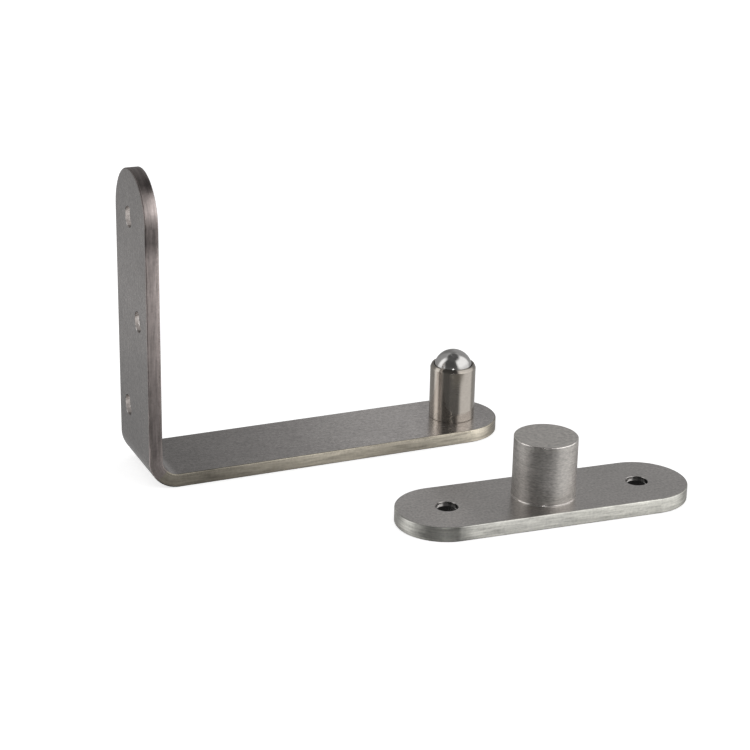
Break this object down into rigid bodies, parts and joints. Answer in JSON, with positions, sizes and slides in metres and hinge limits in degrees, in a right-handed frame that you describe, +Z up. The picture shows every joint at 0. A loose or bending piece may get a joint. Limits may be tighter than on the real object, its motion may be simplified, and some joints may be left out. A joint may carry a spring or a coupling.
{
  "type": "pivot hinge",
  "caption": "Angled bracket with an upright pin that holds a caged ball, and a flat socket plate whose blind cup turns on the ball. Screws to a frame and under a door.",
  "frame": {"origin": "on the pin's axis, at the underside of the bracket's arm", "axes": "+Z up along the pin, the arm along X with the standing leg at -X, the socket plate in front at -Y"},
  "size_m": [0.1306, 0.085, 0.083],
  "materials": {
    "bar_steel": "satin",
    "pin_steel": "polished",
    "ball_steel": "mirror polished",
    "plate_steel": "satin",
    "cup_steel": "turned"
  },
  "bodies": {
    "bracket_half": {"bracket": "bar_steel", "pivot_pin": "pin_steel"},
    "ball": {"ball": "ball_steel"},
    "socket_half": {"socket_plate": "plate_steel", "socket_cup": "cup_steel"}
  },
  "joints": [
    {"name": "socket_pivot", "type": "hinge", "parent": "bracket_half", "child": "socket_half", "pos_m": [-0.00185, -0.0583, 0], "axis": [0, 0, 1], "continuous": true},
    {"name": "ball_spin", "type": "hinge", "parent": "bracket_half", "child": "ball", "pos_m": [0, 0, 0.0177], "axis": [0, 0, 1], "continuous": true}
  ]
}
